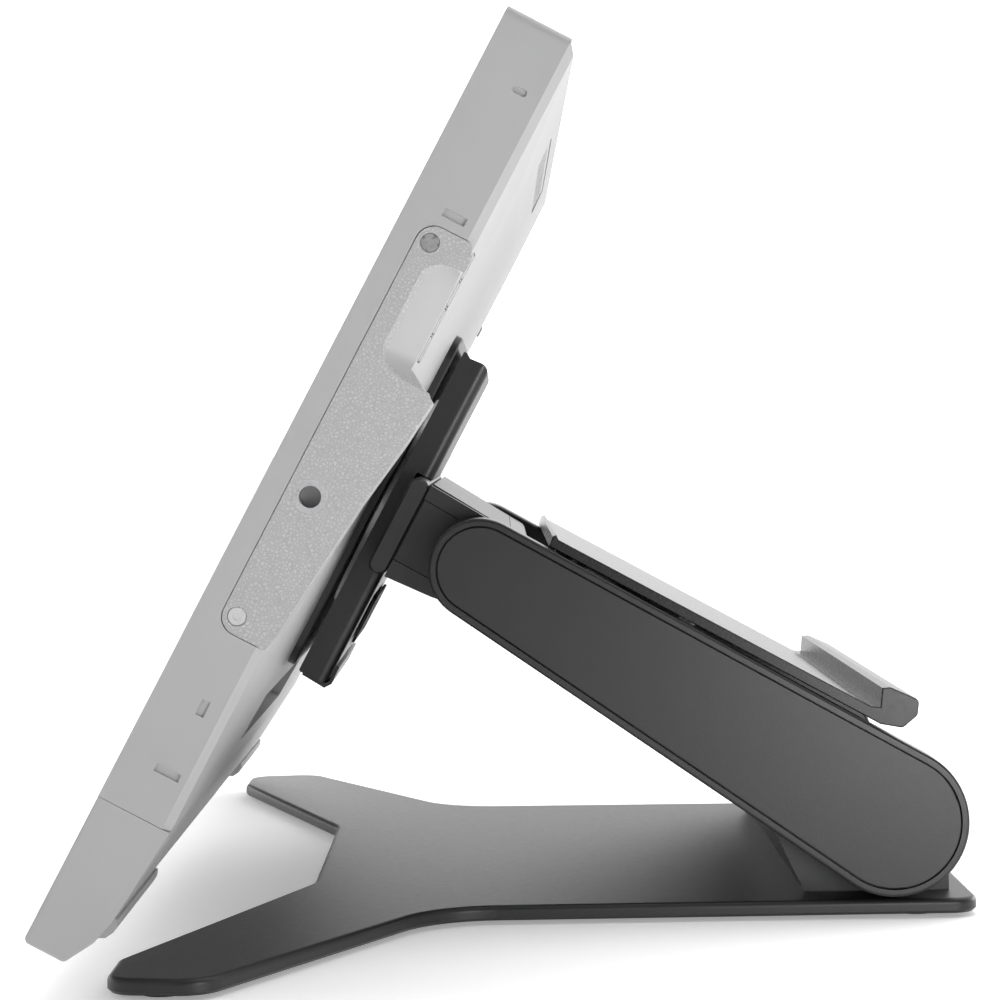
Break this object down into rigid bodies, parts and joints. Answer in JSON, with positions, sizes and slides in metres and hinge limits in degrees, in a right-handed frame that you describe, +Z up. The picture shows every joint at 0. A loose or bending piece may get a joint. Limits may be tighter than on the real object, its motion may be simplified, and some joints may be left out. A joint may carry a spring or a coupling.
{
  "type": "pen drawing tablet",
  "caption": "Pen display with textured side grips on a tilting two-arm stand with a splayed plate base and a release lever.",
  "frame": {"origin": "middle of the footprint of the whole object, on the table", "axes": "+X to the user's right along the display's width, +Y away from the user, +Z up"},
  "size_m": [0.48, 0.295, 0.2839],
  "materials": {
    "shell_grey": "fine satin, pale grey",
    "grip_texture": "leather-grained, pale grey",
    "key_grey": "satin",
    "small_steel": "plain",
    "screen_glass": "etched anti-glare glass over a dark panel",
    "panel_black": "liquid crystal cell",
    "diffuser": "white light guide",
    "circuit_board": "green circuit board",
    "inner_aluminium": "plain sheet",
    "inner_plastic": "plain black",
    "grey_rubber": "plain grey rubber",
    "foot_rubber": "dark rubber",
    "stand_metal": "fine-textured black powder coat",
    "stand_plastic": "fine-textured black",
    "cover_plastic": "fine-textured black",
    "lever_plastic": "fine-textured black",
    "base_metal": "fine-textured black powder coat",
    "bare_steel": "machined"
  },
  "bodies": {
    "base": {"base_plate": "base_metal", "base_feet": "foot_rubber", "pedestal": "stand_metal", "base_screws": "small_steel", "lift_springs": "bare_steel"},
    "arms": {"arm_frame_left": "stand_metal", "arm_frame_right": "stand_metal", "arm_cover_left": "cover_plastic", "arm_cover_right": "cover_plastic", "cross_beam": "stand_metal", "stop_pads": "foot_rubber", "upper_shaft": "bare_steel", "lower_shaft": "bare_steel", "friction_pack": "bare_steel", "lever_pin": "bare_steel", "brake_drum": "bare_steel"},
    "lever": {"lever_plate": "lever_plastic"},
    "lock_rod": {"lock_rod": "bare_steel"},
    "neck": {"neck_block": "stand_metal", "neck_flange": "stand_metal", "neck_panel_left": "stand_plastic", "neck_panel_right": "stand_plastic", "neck_top_cover": "stand_plastic", "head_bracket": "stand_plastic", "bracket_end_cap": "stand_plastic"},
    "latch": {"release_latch": "stand_plastic"},
    "display": {"rear_cover": "shell_grey", "bottom_cap": "shell_grey", "side_grip_left": "grip_texture", "side_grip_right": "grip_texture", "grip_screws": "small_steel", "tripod_inserts": "small_steel", "front_glass": "screen_glass", "display_panel": "panel_black", "backlight": "diffuser", "pen_sensor_board": "circuit_board", "main_board": "circuit_board", "chassis_plate": "inner_aluminium", "heat_spreader": "inner_aluminium", "cooling_fans": "inner_plastic", "port_panel": "shell_grey", "port_sockets": "small_steel", "vent_grille": "shell_grey", "display_feet": "grey_rubber", "mount_plate": "stand_metal", "plate_screws": "small_steel", "turning_hub": "bare_steel"},
    "power_button": {"power_button": "key_grey"},
    "express_key_left_1": {"express_key_left_1": "key_grey"},
    "express_key_left_2": {"express_key_left_2": "key_grey"},
    "express_key_left_3": {"express_key_left_3": "key_grey"},
    "express_key_left_4": {"express_key_left_4": "key_grey"},
    "express_key_right_1": {"express_key_right_1": "key_grey"},
    "express_key_right_2": {"express_key_right_2": "key_grey"},
    "express_key_right_3": {"express_key_right_3": "key_grey"},
    "express_key_right_4": {"express_key_right_4": "key_grey"}
  },
  "joints": [
    {"name": "arm_tilt", "type": "hinge", "parent": "base", "child": "arms", "pos_m": [0, 0.1195, 0.0322], "axis": [-1, 0, 0], "range_deg": [0, 40]},
    {"name": "neck_tilt", "type": "hinge", "parent": "arms", "child": "neck", "pos_m": [0, -0.0165, 0.1176], "axis": [-1, 0, 0], "range_deg": [0, 60]},
    {"name": "display_turn", "type": "hinge", "parent": "neck", "child": "display", "pos_m": [0, -0.05156, 0.13858], "axis": [0, -0.8805, 0.4741], "range_deg": [-20, 20]},
    {"name": "lever_lift", "type": "hinge", "parent": "arms", "child": "lever", "pos_m": [0, 0.01401, 0.1173], "axis": [1, 0, 0], "range_deg": [0, 3.5], "stiffness_Nm_per_rad": 3, "springref_deg": -8.59},
    {"name": "lock_slide", "type": "slide", "parent": "arms", "child": "lock_rod", "axis": [0, -0.8469, 0.5318], "range_m": [0, 0.002]},
    {"name": "latch_slide", "type": "slide", "parent": "neck", "child": "latch", "axis": [0, -0.4741, -0.8805], "range_m": [0, 0.005], "stiffness_N_per_m": 200, "springref_m": -0.003},
    {"name": "power_press", "type": "slide", "parent": "display", "child": "power_button", "axis": [0, -0.4741, -0.8805], "range_m": [0, 0.0008], "stiffness_N_per_m": 400, "springref_m": -0.0005},
    {"name": "express_key_left_1_press", "type": "slide", "parent": "display", "child": "express_key_left_1", "axis": [0, -0.8805, 0.4741], "range_m": [0, 0.0008], "stiffness_N_per_m": 400, "springref_m": -0.0005},
    {"name": "express_key_left_2_press", "type": "slide", "parent": "display", "child": "express_key_left_2", "axis": [0, -0.8805, 0.4741], "range_m": [0, 0.0008], "stiffness_N_per_m": 400, "springref_m": -0.0005},
    {"name": "express_key_left_3_press", "type": "slide", "parent": "display", "child": "express_key_left_3", "axis": [0, -0.8805, 0.4741], "range_m": [0, 0.0008], "stiffness_N_per_m": 400, "springref_m": -0.0005},
    {"name": "express_key_left_4_press", "type": "slide", "parent": "display", "child": "express_key_left_4", "axis": [0, -0.8805, 0.4741], "range_m": [0, 0.0008], "stiffness_N_per_m": 400, "springref_m": -0.0005},
    {"name": "express_key_right_1_press", "type": "slide", "parent": "display", "child": "express_key_right_1", "axis": [0, -0.8805, 0.4741], "range_m": [0, 0.0008], "stiffness_N_per_m": 400, "springref_m": -0.0005},
    {"name": "express_key_right_2_press", "type": "slide", "parent": "display", "child": "express_key_right_2", "axis": [0, -0.8805, 0.4741], "range_m": [0, 0.0008], "stiffness_N_per_m": 400, "springref_m": -0.0005},
    {"name": "express_key_right_3_press", "type": "slide", "parent": "display", "child": "express_key_right_3", "axis": [0, -0.8805, 0.4741], "range_m": [0, 0.0008], "stiffness_N_per_m": 400, "springref_m": -0.0005},
    {"name": "express_key_right_4_press", "type": "slide", "parent": "display", "child": "express_key_right_4", "axis": [0, -0.8805, 0.4741], "range_m": [0, 0.0008], "stiffness_N_per_m": 400, "springref_m": -0.0005}
  ],
  "couplings": [
    {"joint": "lock_slide", "follows": "lever_lift", "m_per_rad": 0.03}
  ]
}
